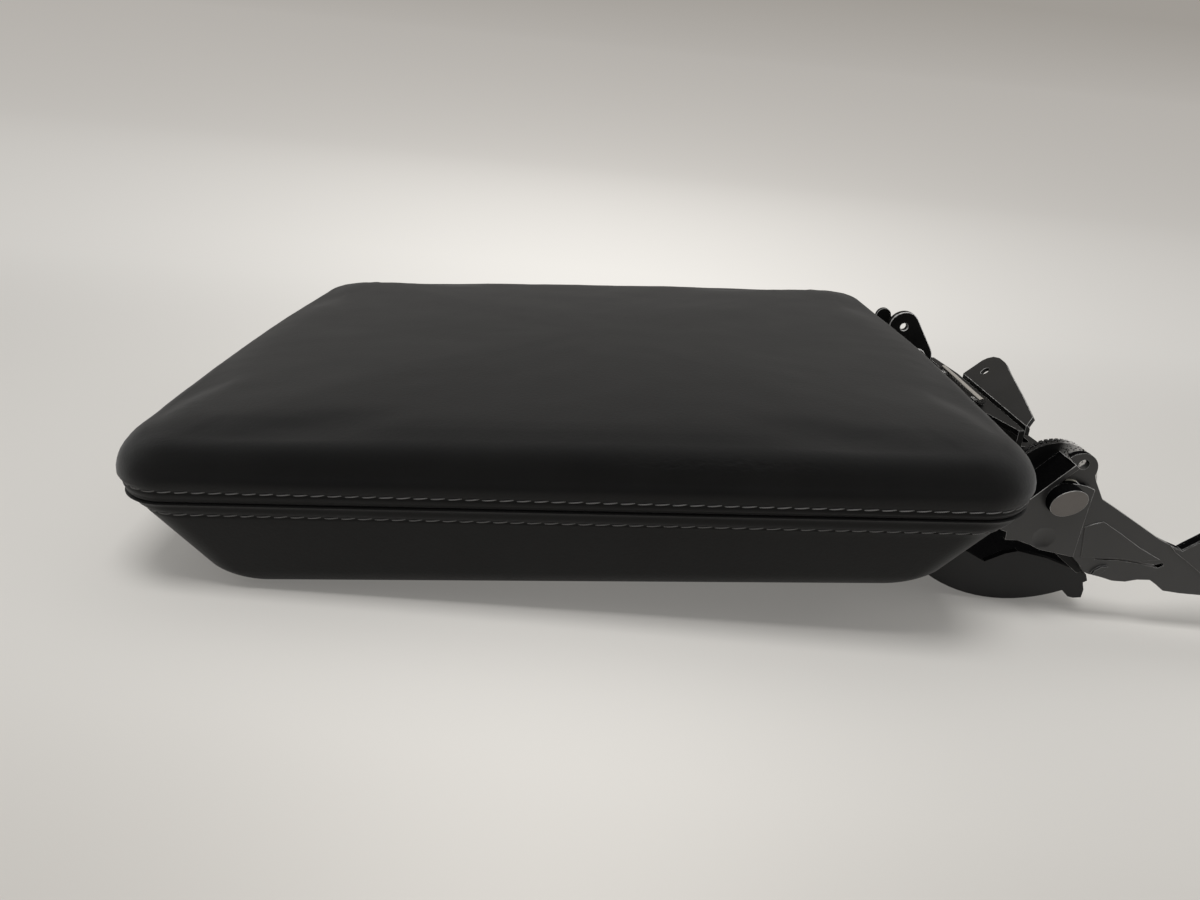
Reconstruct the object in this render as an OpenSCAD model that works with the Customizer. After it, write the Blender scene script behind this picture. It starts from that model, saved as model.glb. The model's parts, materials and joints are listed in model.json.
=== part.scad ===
// Car centre armrest: padded lid on a stamped hinge, shown fully open.
// The lid lies level. X runs along the lid towards the hinge, Y along the hinge
// axis, Z up. Every piece is drawn from the lid's centre at the height of the side
// seam, then set so that the middle of the whole armrest is the origin.

/* [Lid form] */
// Length of the lid at its widest girth
lid_l = 310; // [260:1:360]
// Width of the lid at its widest girth
lid_w = 242; // [210:1:280]
// Corner radius in plan
lid_r = 20; // [14:1:30]
// Outward bow of both short ends
end_bow = 3.6; // [1:0.2:6]
// Height of the pad's edge above the seam
edge_z = 20.1; // [17:0.1:26]
// Extra height of the crowned middle
crown = 4; // [2:0.5:7]
// Height of the widest girth above the seam
girth_z = 6.6; // [4:0.2:9]
// Radius of the pad's upper edge, seen from the side
edge_r = 8.8; // [6:0.2:12]
// How far the seam lies inside the girth
seam_in = 1.4; // [0.6:0.2:2.4]
// Depth of the lower shell below the seam at the front end
low_front = 37; // [33:0.2:42]
// Depth of the lower shell below the seam at the hinge end
low_rear = 30.6; // [28:0.2:33]
// Taper of the lower shell at the short ends
low_in_end = 28; // [22:1:32]
// Taper of the lower shell at the long sides
low_in_side = 9.8; // [7:0.2:13]
// Corner radius of the bottom outline
low_r = 14; // [10:1:20]
// Rounding of the bottom edge
low_edge = 6.5; // [4:0.5:8]

/* [Lid build] */
// Thickness of the leather with its backing
cover_t = 1.8; // [1.2:0.1:2.6]
// Thickness of the foam over the core
foam_t = 8; // [5:0.5:11]
// Wall of the moulded core
core_t = 3; // [2:0.25:4]
// Thickness of the core's stiffening ribs
rib_t = 2; // [1.5:0.25:3]
// Ribs along the lid
ribs_x = 7; // [5:1:9]
// Ribs across the lid
ribs_y = 5; // [3:1:7]
// Wall of the lower shell
shell_t = 3; // [2:0.25:4]
// Width of the lower shell's inward rim at the bottom
rim_w = 9; // [7:0.5:12]
// Thickness of the inner panel that closes the bottom
panel_t = 2.5; // [2:0.25:3.5]
// Half height of the seam groove
groove_h = 0.9; // [0.6:0.1:1.3]
// Depth of the seam groove behind the leather edges
groove_d = 3.2; // [2:0.2:5]
// Width of the joining frame inside the groove
frame_w = 9; // [7:0.5:13]

/* [Hinge] */
// Distance of the hinge axis behind the lid's end
pivot_back = 20; // [19:0.5:24]
// Depth of the hinge axis below the seam
pivot_down = 8; // [6:0.5:10]
// Outer faces of the lid brackets, distance inside the lid's sides
bracket_in = 33; // [29:0.5:37]
// Sheet thickness of brackets and arms
sheet_t = 2.5; // [2:0.1:3]
// Radius of the bracket's round top
hub_r = 8.2; // [7.8:0.2:9.6]
// Width of the near bracket's folded stop flange
stop_w = 12; // [9:0.5:13]
// Radius of the pivot pin
pin_r = 3.6; // [3:0.1:4.2]
// Radius of the rivet head
head_r = 6.2; // [5.4:0.1:7.5]
// Height of the rivet head at its middle
head_h = 4; // [2.5:0.1:5]
// Slope of the near rivet head's face
head_lean = 18.8; // [0:0.2:22]
// Angle from this open pose to the closed lid
travel = 75; // [60:1:80]

/* [Friction drum and anchor ear] */
// Radius of the ribbed friction drum
drum_r = 16.4; // [14:0.1:17]
// Width of the drum
drum_w = 4.2; // [3.6:0.1:6]
// Wall of the drum
drum_t = 0.9; // [0.7:0.1:1.2]
// Ribs around the drum
drum_ribs = 54; // [30:1:72]
// Radius of the anchor ear's lobe
ear_r = 8; // [7:0.2:9]
// Thickness of the anchor ear
ear_t = 3.8; // [3:0.1:4.5]

/* [Cross plate and mounting tabs] */
// Width of the cross plate's flat
cross_w = 24; // [20:0.5:27]
// Depth of the cross plate's rear flange
cross_drop = 12.5; // [11.5:0.5:14]
// Length of the mounting flap's foot
flap_l = 71; // [60:1:76]
// Lean of the mounting flap from level
flap_lean = 41; // [34:1:60]
// Radius of the flap's screw hole
flap_hole_r = 2.2; // [1.8:0.1:3]
// Radius of the steel rod
rod_r = 1.5; // [1.2:0.1:2]
// Reach of the arm's foot behind the axis
foot_reach = 104; // [96:1:120]
// Radius of the bolt hole in the arm's foot
foot_hole_r = 3.3; // [2.6:0.1:4.2]

/* [Shroud] */
// Radius of the crescent shroud
shroud_r = 55; // [52:0.5:57]
// Wall of the shroud
shroud_t = 2.5; // [2:0.1:3]
// Outer faces of the shroud's cheeks, distance inside the brackets' outer faces
shroud_in = 14; // [13:0.5:20]

/* [Hidden] */
$fn = 48;
e = 0.01;
fit = 0.05;
gap = 0.3;
px = lid_l/2 + pivot_back;
pz = -pivot_down;
low_mid = (low_front + low_rear)/2;
low_tilt = atan((low_front - low_rear)/lid_l);
bracket_y = lid_w/2 - bracket_in;
mount_y = bracket_y - sheet_t;
wash_t = 0.6;
arm_y = mount_y - wash_t - fit;
arm_in = arm_y - sheet_t;
shroud_y = bracket_y - shroud_in;
panel_hx = lid_l/2 - low_in_end - low_edge - rim_w;
shroud_up = 3;
shroud_drop = pz + shroud_up - bottom_z(px - 50);
shroud_x = panel_hx + rim_w + 4;
shroud_c = [shroud_x + sqrt(pow(shroud_r - shroud_t, 2) - pow(shroud_drop, 2)) - px, shroud_up];
mid_x = (px + foot_reach - lid_l/2 + end_bow*pow(0.2*(1 - 2*lid_r/lid_w), 2))/2;
mid_z = (edge_z + crown*(1 - 0.12*0.12) + pz + shroud_c[1] - shroud_r)/2;

// Plan outline of the lid at half sizes hx and hy: round corners, bowed ends.
function bowed(x, y, hy) = x + sign(x)*end_bow*(1 - pow(y/hy, 2));
function outline(hx, hy, r) = let(a = hx - end_bow, n = 6)
    [for (q = [0:3]) let(sx = (q == 0 || q == 3) ? 1 : -1, sy = q < 2 ? 1 : -1)
        each concat(
            q == 2 ? [for (k = [1:4]) let(y = (hy - r)*(1 - 2*k/5)) [bowed(-a, y, hy), y]] : [],
            [for (k = [0:n]) let(t = 90*q + 90*k/n,
                x = sx*(a - r) + r*cos(t), y = sy*(hy - r) + r*sin(t)) [bowed(x, y, hy), y]],
            q == 3 ? [for (k = [1:4]) let(y = (hy - r)*(2*k/5 - 1)) [bowed(a, y, hy), y]] : [])];

module slice(z, in_x, in_y, r, tilt = 0)
    translate([0, 0, z]) rotate([0, -tilt, 0])
        linear_extrude(e) polygon(outline(lid_l/2 - in_x, lid_w/2 - in_y, r));

// The pad's outer form above the seam, moved inwards by d and cut level at z0.
module upper_form(d = 0, z0 = 0) {
    er = max(edge_r - d, 1.5);
    rise = edge_z - d - girth_z;
    hull() {
        slice(z0, d + seam_in, d + seam_in, lid_r - 0.7);
        slice(girth_z, d, d, lid_r);
        for (a = [18:18:90])
            slice(girth_z + rise*sin(a), d + er*(1 - cos(a)), d + er*(1 - cos(a)),
                  lid_r - 0.3*er*(1 - cos(a)));
        for (s = [0.85, 0.65, 0.4, 0.12])
            slice(edge_z - d + crown*(1 - s*s),
                  lid_l/2 - (lid_l/2 - d - er)*s, lid_w/2 - (lid_w/2 - d - er)*s, 12*s + 2);
    }
}

// The lower shell's form from z0 down, moved inwards by d and up by lift.
module lower_form(d = 0, z0 = 0, lift = 0) {
    depth = low_mid - lift;
    hull() {
        slice(z0, d + seam_in, d + seam_in, lid_r - 0.7);
        for (a = [0, 30, 60, 90]) {
            t = 1 - low_edge*(1 - sin(a))/low_mid;
            slice(-depth*t, d + low_in_end*t + low_edge*(1 - cos(a)),
                  d + low_in_side*t + 0.6*low_edge*(1 - cos(a)), low_r, low_tilt*t);
        }
    }
}

// The sheet-metal profiles are drawn in X and Z with the hinge axis at zero.
module profile(y0, t) {
    translate([px, y0 + t, pz]) rotate([90, 0, 0]) linear_extrude(t) children();
}
// A rod along Y from y0 to y1, placed from the hinge axis.
module y_rod(y0, y1, r, x = 0, z = 0) {
    translate([px + x, y0, pz + z]) rotate([-90, 0, 0]) cylinder(h = y1 - y0, r = r);
}
// Two circles joined by their outer tangents.
module link(a, ra, b, rb) {
    v = b - a;
    n = norm(v);
    t = acos((ra - rb)/n);
    w = atan2(v[1], v[0]);
    translate(a) circle(ra);
    translate(b) circle(rb);
    polygon([a + ra*[cos(w + t), sin(w + t)], b + rb*[cos(w + t), sin(w + t)],
             b + rb*[cos(w - t), sin(w - t)], a + ra*[cos(w - t), sin(w - t)]]);
}
module far() { mirror([0, 1, 0]) children(); }
// Sets a finished piece so that the middle of the whole armrest is the origin.
module placed() { translate([-mid_x, 0, -mid_z]) children(); }

// Leather over the foam, turned in at the seam.
module cover_upper() placed() color([0.13, 0.13, 0.13]) {
    difference() {
        upper_form(0, groove_h);
        difference() {
            upper_form(cover_t, groove_h - 1);
            translate([-lid_l, -lid_w, -5]) cube([2*lid_l, 2*lid_w, 5 + groove_h + cover_t]);
        }
        translate([0, 0, -5]) linear_extrude(20)
            polygon(outline(lid_l/2 - groove_d - seam_in - 2, lid_w/2 - groove_d - seam_in - 2, lid_r - 4));
    }
}

core_in = cover_t + foam_t;
panel_hy = lid_w/2 - low_in_side - 0.6*low_edge - rim_w;
function panel_outline(d) = outline(panel_hx - d, panel_hy - d, low_r - 4);
function bottom_z(x) = -low_mid + x*tan(low_tilt);

// Foam pad between the leather and the core.
module foam_pad() placed() color([0.85, 0.8, 0.55]) {
    difference() {
        upper_form(cover_t + fit, groove_h - 1);
        upper_form(core_in, -2);
        translate([-lid_l, -lid_w, -5])
            cube([2*lid_l, 2*lid_w, 5 + groove_h + cover_t + fit]);
    }
}

screw_in = 17;
screw_x = [-panel_hx + screw_in, 0, panel_hx - 2*screw_in];
screw_y = panel_hy - screw_in;
module screw_places() { for (x = screw_x, s = [-1, 1]) translate([x, s*screw_y, 0]) children(); }
brace_x = [px - 63, px - 44];
brace_y = mount_y - 9.5;
flange_z = pz;

// Moulded core: shell, ribs and screw bosses.
module core() placed() color([0.35, 0.35, 0.36]) {
    boss_r = 4.5;
    difference() {
        union() {
            difference() {
                upper_form(core_in + fit, groove_h + fit);
                upper_form(core_in + core_t, groove_h - 1);
            }
            intersection() {
                upper_form(core_in + core_t - 0.5, groove_h + fit);
                union() {
                    for (i = [1:ribs_x]) translate([-lid_l/2 + i*lid_l/(ribs_x + 1) - rib_t/2, -lid_w/2, 0])
                        cube([rib_t, lid_w, 60]);
                    for (i = [1:ribs_y]) translate([-lid_l/2, -lid_w/2 + i*lid_w/(ribs_y + 1) - rib_t/2, 0])
                        cube([lid_l, rib_t, 60]);
                }
            }
            intersection() {
                upper_form(core_in + core_t - 0.5, -80);
                union() {
                    for (x = screw_x, s = [-1, 1])
                        translate([x, s*screw_y, bottom_z(x) + panel_t + boss_r*tan(low_tilt) + fit])
                            cylinder(h = 80, r = boss_r);
                    for (x = brace_x, s = [-1, 1]) translate([x, s*brace_y, flange_z])
                        cylinder(h = 60, r = boss_r);
                }
            }
        }
        screw_places() translate([0, 0, -low_front]) cylinder(h = low_front + 4, r = 1.6);
        for (x = brace_x, s = [-1, 1]) translate([x, s*brace_y, flange_z - 1]) cylinder(h = 12, r = 1.6);
    }
}

// Flat frame in the seam groove that both covers are clamped against.
module joining_frame() placed() color([0.07, 0.07, 0.07]) {
    d = seam_in + groove_d;
    translate([0, 0, -groove_h + 2*e]) linear_extrude(2*groove_h - 4*e) difference() {
        polygon(outline(lid_l/2 - d, lid_w/2 - d, lid_r - 3));
        polygon(outline(lid_l/2 - d - frame_w, lid_w/2 - d - frame_w, lid_r - 8));
    }
}

// Leather-wrapped lower shell with an inward rim and two slots for the brackets.
module cover_lower() placed() color([0.1, 0.1, 0.1]) {
    difference() {
        lower_form(0, -groove_h);
        lower_form(shell_t, groove_h, panel_t);
        rotate([0, -low_tilt, 0]) translate([0, 0, -2*low_mid]) linear_extrude(2*low_mid - 12)
            polygon(panel_outline(0));
        for (s = [-1, 1]) translate([lid_l/2 - 30, s*(bracket_y - sheet_t/2) - sheet_t/2 - 0.6, pz - 11.5])
            cube([60, sheet_t + 1.2, 12]);
        shroud_screw_places() cylinder(h = 16, r = 1.8, center = true);
    }
}

// Inner panel, flush with the lower rim, dished around its screws.
module inner_panel() placed() color([0.22, 0.22, 0.23]) {
    difference() {
        rotate([0, -low_tilt, 0]) translate([0, 0, -low_mid]) union() {
            linear_extrude(panel_t) polygon(panel_outline(gap));
            translate([0, 0, panel_t]) linear_extrude(2.5) difference() {
                polygon(panel_outline(3.5));
                polygon(panel_outline(3.5 + rib_t));
            }
        }
        rotate([0, -low_tilt, 0]) translate([0, 0, -low_mid - 1]) linear_extrude(1.8)
            polygon(panel_outline(6.5));
        screw_places() translate([0, 0, -low_front - 5]) cylinder(h = 40, r = 2.1);
    }
}

// Six screws from below through the panel into the core's bosses.
module panel_screws() placed() color([0.6, 0.6, 0.62]) {
    for (x = screw_x, s = [-1, 1]) translate([x, s*screw_y, bottom_z(x) - 1.65]) {
        difference() {
            cylinder(h = 2.1, r = 3.8);
            translate([0, 0, -1]) cylinder(h = 2.2, r = 1.5, $fn = 6);
        }
        cylinder(h = 20, r = 1.55);
    }
}

stop_a = 47;
stop_in = 7.4;
stop_end = 9.6;
hub_top = 6.2;
stop_n = [-sin(stop_a), cos(stop_a)];
stop_d = [cos(stop_a), sin(stop_a)];

dish = [-4.6, -15.9];
dish_r = 13;
dish_deep = 0.8;

// Neck into the lid and leg below the axis, the same on both brackets.
module bracket_leg() polygon([[-71, -11], [-25, -11], [-18.5, -13.8], [-18.3, -17.1], [-13.7, -17.2],
    [-8.9, -19], [-4.8, -21], [0.9, -22.2], [7.8, -23.7], [8.3, -2], [0, 2], [-12, -3], [-35, 0], [-71, 0]]);
// Outline of the near bracket's side, with its round top and the foot of the flange.
module bracket_side() {
    difference() {
        union() {
            translate([0.2, hub_top - hub_r]) circle(hub_r);
            bracket_leg();
            polygon([[8.3, -2], [8.6, 3.9], [5.8, 5.2], [2.7, 6], [0, 0]]);
            polygon([stop_n*stop_in - 12*stop_d, stop_n*(stop_in + sheet_t*0.8) - 12*stop_d,
                     stop_n*(stop_in + sheet_t*0.8) + stop_end*stop_d, stop_n*stop_in + stop_end*stop_d,
                     stop_n*stop_in - 0.5*stop_d, [0, 0], [-12, -8]]);
        }
        circle(pin_r);
    }
}
// Flange inside the lid, screwed up against the core's bosses.
module bracket_foot() {
    difference() {
        translate([px - 71, -bracket_y, flange_z - sheet_t]) cube([33, 20, sheet_t]);
        for (x = brace_x) translate([x, -brace_y, flange_z - sheet_t - 1]) cylinder(h = sheet_t + 2, r = 2.3);
    }
}
module bracket_near() placed() color([0.28, 0.28, 0.29]) {
    difference() {
        profile(-bracket_y, sheet_t) bracket_side();
        translate([px + dish[0], -bracket_y + dish_deep - dish_r, pz + dish[1]]) sphere(dish_r);
    }
    profile(-bracket_y, stop_w)
        polygon([stop_n*stop_in - 12*stop_d, stop_n*(stop_in + sheet_t*0.8) - 12*stop_d,
                 stop_n*(stop_in + sheet_t*0.8) + stop_end*stop_d, stop_n*stop_in + stop_end*stop_d]);
    bracket_foot();
}
// The far bracket has an upright ear in place of the stop flange.
module bracket_far() placed() color([0.28, 0.28, 0.29]) far() {
    profile(-bracket_y, sheet_t) difference() {
        union() {
            circle(hub_r);
            bracket_leg();
            polygon([[-19.4, -6], [-20.3, 20.5], [-12.9, 21], [-6, 4], [-8, -6]]);
            translate([-16.6, 20]) circle(4);
        }
        circle(pin_r);
    }
    bracket_foot();
}
module bracket_screws() placed() color([0.6, 0.6, 0.62]) {
    for (x = brace_x, s = [-1, 1]) translate([x, s*brace_y, flange_z - sheet_t - 2.4]) {
        cylinder(h = 2.4, r = 4.2);
        cylinder(h = sheet_t + 10, r = 1.55);
    }
}

drum_y = -bracket_y + stop_w + gap + 0.1;
// Near pivot: head set a little off and sloping, outside, shank through arm and drum, tail inside.
module pivot_near() placed() color([0.45, 0.43, 0.41]) {
    tail = drum_y + drum_w + 0.1;
    difference() {
        y_rod(-bracket_y - head_h - head_r*tan(head_lean), -bracket_y, head_r, -1.6, 0.3);
        translate([px, -bracket_y - head_h, pz]) rotate([head_lean, 0, 0])
            translate([-10, -20, -10]) cube([20, 20, 20]);
    }
    y_rod(-bracket_y - 1, tail + 2.4, pin_r);
    y_rod(tail, tail + 2.4, pin_r + 1.8);
}
module pivot_far() placed() color([0.45, 0.43, 0.41]) far() {
    tail = -arm_in + 2.5 + ear_t + 0.1;
    y_rod(-bracket_y - head_h, -bracket_y, head_r);
    y_rod(-bracket_y - 1, tail + 2.4, pin_r);
    y_rod(tail, tail + 2.4, pin_r + 1.8);
}
// Two steel discs on the pin that turn inside the drum.
module friction_discs() placed() color([0.55, 0.55, 0.57]) {
    for (i = [0:1]) difference() {
        y_rod(drum_y + drum_t + gap + i*1.3, drum_y + drum_t + gap + i*1.3 + 0.8, drum_r - 4);
        y_rod(drum_y - 1, drum_y + drum_w + 1, pin_r);
    }
}

// Outline of the near arm: eye, lobe behind the stop flange, neck, waist and foot.
module arm_side() {
    stop_line = stop_n*(stop_in - gap);
    difference() {
        union() {
            circle(7);
            translate([3.2, 10.2]) circle(6.3);
            polygon([[-5.2, -4], [-5, 2], [-3, 8], [2, 14], [6, 15.3], [7.6, 12.4], [9.8, 6.4], [14.4, -1.5],
                     [25.1, -8.2], [39.3, -17.4], [43.6, -19.5], [48.5, -21.6], [56, -16],
                     [foot_reach - 14, 2], [foot_reach - 4, 2], [foot_reach, -4],
                     [foot_reach, -34], [foot_reach - 6, -42.4], [61, -41.1], [53.5, -40.5], [46.9, -39.5],
                     [43.7, -36.9], [40.8, -34.9], [36, -34.9], [31.8, -35.9], [26.9, -35.6], [22, -34],
                     [17.2, -32.8], [15.2, -31.9], [13.4, -29.3], [9.8, -25.5], [4, -22], [1, -19], [1.1, -14.6],
                     [-4.8, -4.9]]);
        }
        polygon([stop_line - 14*stop_d, stop_line + (stop_end + 0.5)*stop_d,
                 stop_line + (stop_end + 0.5)*stop_d + 9*stop_n, stop_line - 14*stop_d + 9*stop_n]);
        circle(pin_r + 1 + fit);
        translate([4.2, 12.2]) circle(1.9);
        foot_holes();
        polygon([[18, -26.1], [27.2, -26.2], [34.8, -27.3], [41.2, -28.2], [43.4, -27.4],
                 [44, -28.6], [42, -29.6], [34.8, -27.9], [27.2, -26.7], [18, -26.5]]);
    }
}
module foot_holes() for (z = [-12, -30]) translate([foot_reach - 14, z]) circle(foot_hole_r);
// Pressed relief on the near arm: raised field over the slit, raised foot, small lip.
module arm_relief() {
    profile(-arm_y - 0.3, 0.3 + e) polygon([[10.9, -12.7], [13.8, -11.4], [17.1, -10.4], [24.1, -14.9],
        [33.1, -21], [41.9, -26], [34.8, -26.7], [27.2, -25.6], [19.8, -25.4], [12.7, -25.4]]);
    profile(-arm_y - 0.5, 0.5 + e) difference() {
        polygon([[44.2, -20], [46.3, -22.4], [50.9, -25.7], [58.2, -31.2], [66, -39.6], [foot_reach - 6, -41],
            [foot_reach - 0.5, -34], [foot_reach - 0.5, -4], [foot_reach - 4, 1.5], [foot_reach - 13.7, 1.5],
            [56, -16.5], [48.5, -21.9]]);
        foot_holes();
    }
    profile(-arm_y - 1, 1 + e) polygon([[18.1, -32.5], [18.9, -30.7], [20.7, -29.4], [23.2, -28.8],
        [22.8, -30.2], [21.6, -31.4], [20.6, -33]]);
}
// Folded lips along the foot's upper edge and under the waist, both turned inwards.
module arm_folds() {
    profile(-arm_y, 3.4) polygon([[43.6, -19.7], [48.5, -21.7], [56, -16], [foot_reach - 14, 2],
        [foot_reach - 15, 0.2], [55.7, -18.2], [48.5, -23.9], [43, -21.6]]);
    profile(-arm_y, 6) polygon([[22, -33.9], [26.9, -35.5], [31.8, -35.8], [36, -34.8], [40.8, -34.8],
        [40.8, -32.8], [36, -32.8], [31.8, -33.6], [26.9, -33.4], [22.6, -31.8]]);
}
module arm_near() placed() color([0.27, 0.27, 0.28]) {
    profile(-arm_y, sheet_t) arm_side();
    arm_relief();
    arm_folds();
}
// The far arm is short: an eye, and a leg down to the cross plate.
module arm_far() placed() color([0.27, 0.27, 0.28]) far() profile(-arm_y, sheet_t) difference() {
    union() {
        circle(7);
        polygon([[-6.6, -2], [-3, -18], [1, -25], [far_x, -25], [far_x, -3], [9.6, 0.2], [6.4, 3], [0, 0]]);
    }
    circle(pin_r + 1 + fit);
}
module bush(y_out) {
    difference() {
        union() {
            y_rod(y_out - wash_t, y_out, 6.6);
            y_rod(y_out - 0.1, y_out + sheet_t, pin_r + 1);
        }
        y_rod(y_out - 2, y_out + sheet_t + 2, pin_r + fit);
    }
}
module bush_near() placed() color([0.75, 0.72, 0.62]) bush(-arm_y);
module bush_far() placed() color([0.75, 0.72, 0.62]) far() bush(-arm_y);

// Drum with ribbed rim and a boss that stands on the arm.
module friction_drum() placed() color([0.3, 0.3, 0.3]) {
    difference() {
        union() {
            y_rod(drum_y, drum_y + drum_w, drum_r);
            y_rod(-arm_in, drum_y + e, 7);
        }
        y_rod(drum_y + drum_t, drum_y + drum_w - drum_t, drum_r - 2.6);
        y_rod(-arm_in - 1, drum_y + drum_w + 1, pin_r + fit);
        difference() {
            y_rod(drum_y + drum_w/2 - 0.35, drum_y + drum_w/2 + 0.35, drum_r + 1);
            y_rod(drum_y, drum_y + drum_w, drum_r - 0.7);
        }
        for (i = [0:drum_ribs - 1]) translate([px, drum_y + 1, pz]) rotate([0, i*360/drum_ribs, 0])
            translate([drum_r - 0.45, 0, -0.35]) cube([2, drum_w, 0.7]);
    }
}
// Ear on the far arm with the spring hole in its lobe.
module anchor_ear() placed() color([0.3, 0.3, 0.3]) far() {
    ye = -arm_in + 2.5;
    difference() {
        union() {
            profile(ye, ear_t) link([0, 0], 9.5, [-8, 16.5], ear_r);
            y_rod(-arm_in, ye + e, 7);
        }
        y_rod(-arm_in - 1, ye + ear_t + 1, pin_r + fit);
        y_rod(ye - 1, ye + ear_t + 1, 1.9, -8, 16.5);
    }
}

cross_x = 16.2;
cross_z = -2;
far_x = 13.4;
cross_end = arm_in - 16.3;
// Plate between the arms: a flat, a rear flange, a low strip to the near arm, a slotted lug.
module cross_plate() placed() color([0.25, 0.25, 0.26]) {
    back = cross_x - sheet_t;
    far_start = cross_end - 11;
    difference() {
        union() {
            translate([px, 0, pz + cross_z - sheet_t]) linear_extrude(sheet_t)
                polygon([[cross_x - cross_w, 8], [4, 8], [8.6, -2.5], [back, -20.5], [cross_x, -20.5],
                         [cross_x, far_start], [far_x, arm_in], [far_x - 3, arm_in], [far_x - 3, cross_end],
                         [cross_x - cross_w, cross_end]]);
            translate([px, 0, pz + cross_z - cross_drop]) linear_extrude(cross_drop - e)
                polygon([[back, -20.5], [cross_x, -20.5], [cross_x, far_start], [far_x, arm_in],
                         [far_x - sheet_t, arm_in], [back, far_start - 0.5]]);
            translate([px + back, -arm_in, pz - 24.5]) cube([sheet_t, arm_in - 14, 11]);
            profile(-arm_in, sheet_t) polygon([[back, -13.5], [cross_x, -13.5], [cross_x + 13, -16],
                [cross_x + 13, -25], [20, -32.5], [14.5, -34], [5, -26], [4, -22], [back, -20]]);
            profile(arm_in - sheet_t, sheet_t) polygon([[far_x - sheet_t, -12], [far_x, -12],
                [far_x, -24], [2, -24], [0, -17.5]]);
            translate([px, 0, pz + cross_z - cross_drop]) linear_extrude(sheet_t)
                polygon([[back, 9], [20.2, 8.8], [28.1, 4.6], [29.5, -11.2], [25.9, -15.9], [back, -13]]);
        }
        translate([px + 23.6, -8, pz + cross_z - cross_drop - 1]) {
            cylinder(h = 5, r = 1.9);
            translate([0, 6, 0]) cylinder(h = 5, r = 1.9);
            translate([-1.9, 0, 0]) cube([3.8, 6, 5]);
        }
        flap_rivet_places() translate([0, 0, -1]) cylinder(h = sheet_t + 2, r = 1.6);
    }
}

flap_t = 2;
flap_foot = 5;
flap_foot_start = 18;
flap_y = [-15, flap_l - 15];
flap_top = [19.2, cross_z];
flap_hole = [flap_y[1] - 10.7, 7.6];
module on_flap() translate([px + flap_top[0], 0, pz + flap_top[1]]) rotate([90, 0, 90])
    rotate([90 - flap_lean, 0, 0]) children();
// Mounting flap: a channel foot riveted to the rear flange, and a leaning plate with the screw hole.
module flap() placed() color([0.2, 0.2, 0.2]) {
    low = [sin(flap_lean), -cos(flap_lean)];
    up = [cos(flap_lean), sin(flap_lean)];
    foot_z = cross_z - cross_drop + sheet_t + fit;
    end_y = flap_y[1];
    difference() {
        profile(flap_y[0], flap_l) polygon([[cross_x, foot_z], [cross_x + flap_foot, foot_z],
            flap_top + flap_t*low + 0.9*up, flap_top + flap_t*low + 19*up, flap_top + 19*up, flap_top,
            [flap_top[0], cross_z - 4.5], [cross_x, cross_z - 4.5]]);
        on_flap() translate([0, 0, -3]) linear_extrude(flap_t + 6)
            polygon([[-60, 0.6], [-14.6, 0.6], [-11.9, 4.8], [8.6, 9.7], [30.9, 14.5], [end_y - 15.8, 16.8],
                     [end_y - 8.3, 17.1], [end_y - 3.5, 15.8], [end_y - 1, 13.4], [end_y + 0.6, 9.4],
                     [end_y + 40, 9.4], [end_y + 40, 40], [-60, 40]]);
        on_flap() translate([flap_hole[0], flap_hole[1], -3]) cylinder(h = flap_t + 6, r = flap_hole_r);
        flap_rivet_places() cylinder(h = sheet_t + flap_foot + 4, r = 1.6);
        translate([px + cross_x - 1, flap_y[0] - 1, pz + foot_z - 1])
            cube([flap_foot + 4, flap_foot_start + 1, cross_z - 4.5 - foot_z + 1]);
    }
}
module flap_rivet_places()
    for (y = [flap_y[0] + flap_foot_start + 7, flap_y[1] - 16]) translate([px + cross_x - sheet_t, y, pz + cross_z - 7.2])
        rotate([0, 90, 0]) children();
module flap_rivets() placed() color([0.4, 0.4, 0.41]) flap_rivet_places() {
    translate([0, 0, -1.2]) cylinder(h = 1.2, r = 2.4);
    translate([0, 0, -1]) cylinder(h = sheet_t + flap_foot + 1.5, r = 1.6);
    translate([0, 0, sheet_t + flap_foot]) cylinder(h = 1, r = 2.2);
}

rod_x = 8.4;
rod_z = cross_z + rod_r + 1.2;
rod_y = [7, 56];
module rod() placed() color([0.8, 0.79, 0.76]) {
    y_rod(rod_y[0], rod_y[1], rod_r, rod_x, rod_z);
}
// Two saddles carry the rod.
module rod_clips() placed() color([0.3, 0.3, 0.31]) {
    for (y = [rod_y[0] + 3, rod_y[1] - 7]) difference() {
        translate([px + rod_x - rod_r - 1, y, pz + cross_z]) cube([2*rod_r + 2, 4, rod_z - cross_z]);
        y_rod(y - 1, y + 5, rod_r, rod_x, rod_z);
    }
}

function on_shroud(a, r) = shroud_c + r*[cos(a), sin(a)];
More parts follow.
